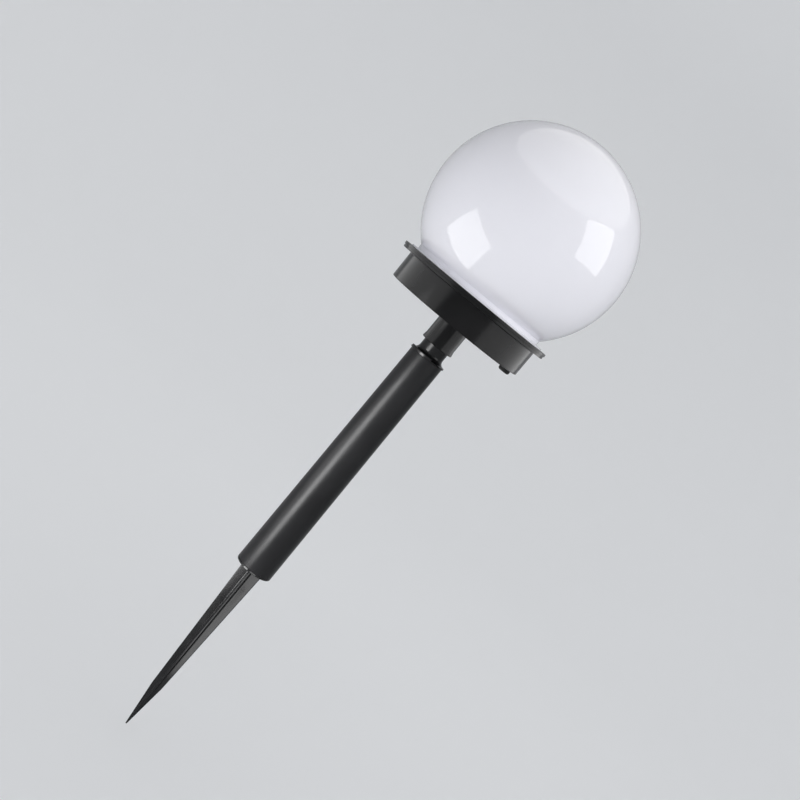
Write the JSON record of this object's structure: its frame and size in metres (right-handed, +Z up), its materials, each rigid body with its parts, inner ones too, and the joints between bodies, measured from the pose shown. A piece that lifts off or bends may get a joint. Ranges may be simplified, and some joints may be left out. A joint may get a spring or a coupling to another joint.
{
  "type": "garden globe light",
  "caption": "Solar garden globe light: a milky round shade twists onto a shallow drum, on a slim push-fit tube with a four-bladed ground spike.",
  "frame": {"origin": "on the lamp's axis at ground level, at the underside of the spike's collar", "axes": "+Z up along the pole; -Y is the front, the side that the picture shows; the push button lies towards +X"},
  "size_m": [0.15, 0.15, 0.5202],
  "materials": {
    "milky_globe": "glossy, translucent white",
    "black_gloss": "glossy black",
    "black_satin": "satin black",
    "black_rubber": "matt",
    "grey_rubber": "matt",
    "solar_silicon": "deep blue, crystalline",
    "board_green": "solder-masked",
    "board_white": "white solder mask",
    "clear_resin": "clear, glossy",
    "lamp_resin": "diffused warm white",
    "steel": "bright",
    "nickel_strip": "bright",
    "cell_wrap": "shrink wrap, plain green",
    "component_black": "moulded",
    "capacitor_sleeve": "sleeve",
    "coil_ferrite": "ferrite",
    "lead_red": "insulation",
    "lead_yellow": "insulation"
  },
  "bodies": {
    "spike": {"ground_spike": "black_gloss"},
    "pole": {"pole_tube": "black_satin"},
    "adapter": {"pole_adapter": "black_gloss"},
    "head": {"globe_gasket": "black_rubber", "top_cover": "black_satin", "solar_panel_board": "board_green", "solar_cells": "solar_silicon", "solar_panel_resin": "clear_resin", "led_board": "board_white", "led_lamps": "lamp_resin", "led_board_screws": "steel", "base_drum": "black_satin", "housing_gasket": "black_rubber", "housing_screws": "steel", "battery_door": "black_satin", "battery_door_seal": "grey_rubber", "battery_door_screws": "steel", "battery_cell": "cell_wrap", "battery_contact_positive": "nickel_strip", "battery_contact_spring": "nickel_strip", "control_board": "board_green", "control_board_screws": "steel", "control_chip": "component_black", "boost_coil": "coil_ferrite", "smoothing_capacitor": "capacitor_sleeve", "switch_body": "component_black", "switch_screws": "steel", "battery_leads": "lead_red", "panel_leads": "lead_yellow", "led_leads": "lead_red", "switch_leads": "lead_yellow"},
    "globe": {"globe_shade": "milky_globe"},
    "button": {"button_cap": "black_rubber", "switch_plunger": "board_white"}
  },
  "joints": [
    {"name": "pole_pull", "type": "slide", "parent": "spike", "child": "pole", "axis": [0, 0, 1], "range_m": [0, 0.03]},
    {"name": "adapter_pull", "type": "slide", "parent": "pole", "child": "adapter", "axis": [0, 0, 1], "range_m": [0, 0.028]},
    {"name": "head_swivel", "type": "hinge", "parent": "adapter", "child": "head", "pos_m": [0, 0, 0.21], "axis": [0, 0, 1], "continuous": true},
    {"name": "globe_twist", "type": "hinge", "parent": "head", "child": "globe", "pos_m": [0, 0, 0.24], "axis": [0, 0, 1], "range_deg": [0, 50]},
    {"name": "power_button", "type": "slide", "parent": "head", "child": "button", "axis": [0, 0, 1], "range_m": [0, 0.0015], "stiffness_N_per_m": 400, "springref_m": -0.002}
  ]
}
